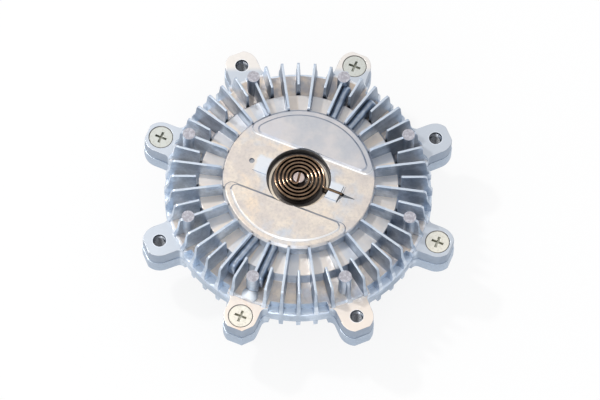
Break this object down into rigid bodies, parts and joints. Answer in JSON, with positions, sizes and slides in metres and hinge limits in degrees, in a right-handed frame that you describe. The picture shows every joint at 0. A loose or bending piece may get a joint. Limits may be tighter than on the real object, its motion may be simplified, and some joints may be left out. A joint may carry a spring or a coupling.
{
  "type": "viscous fan clutch",
  "caption": "Finned two-part aluminium viscous fan clutch with a bimetal coil, a flanged drive shaft and lugs for a fan.",
  "frame": {"origin": "centre of the drive flange's back face", "axes": "+Z along the turning axis from the drive flange towards the bimetal coil; +X midway between two lugs"},
  "size_m": [0.1582, 0.1582, 0.0613],
  "materials": {
    "cast_aluminium": "die cast, satin, machined on the lug faces",
    "rotor_aluminium": "machined",
    "shaft_steel": "turned and lightly oiled",
    "plate_steel": "pressed sheet",
    "spring_steel": "black oxide",
    "bearing_steel": "ground",
    "cage_steel": "pressed",
    "pin_steel": "turned",
    "zinc_steel": "zinc plated",
    "bimetal": "rolled strip, bronze brown",
    "seal_rubber": "moulded"
  },
  "bodies": {
    "shaft": {"drive_shaft": "shaft_steel", "rotor": "rotor_aluminium", "rotor_snap_ring": "spring_steel", "bearing_inner_ring": "bearing_steel"},
    "housing": {"front_housing": "cast_aluminium", "rear_housing": "cast_aluminium", "housing_seal": "seal_rubber", "partition_plate": "plate_steel", "bearing_snap_ring": "spring_steel", "bearing_outer_ring": "bearing_steel", "bearing_rear_shield": "cage_steel", "bearing_front_shield": "cage_steel", "bimetal_coil": "bimetal", "housing_screw_1": "zinc_steel", "housing_screw_2": "zinc_steel", "housing_screw_3": "zinc_steel", "housing_screw_4": "zinc_steel"},
    "control": {"control_pin": "pin_steel", "pin_seal": "seal_rubber", "valve_arm": "plate_steel"}
  },
  "joints": [
    {"name": "housing_spin", "type": "hinge", "parent": "shaft", "child": "housing", "pos_m": [0, 0, 0.02], "axis": [0, 0, 1], "continuous": true},
    {"name": "control_turn", "type": "hinge", "parent": "housing", "child": "control", "pos_m": [0, 0, 0.05], "axis": [0, 0, 1], "range_deg": [0, 35], "stiffness_Nm_per_rad": 0.02, "deforming": ["bimetal_coil"]}
  ]
}
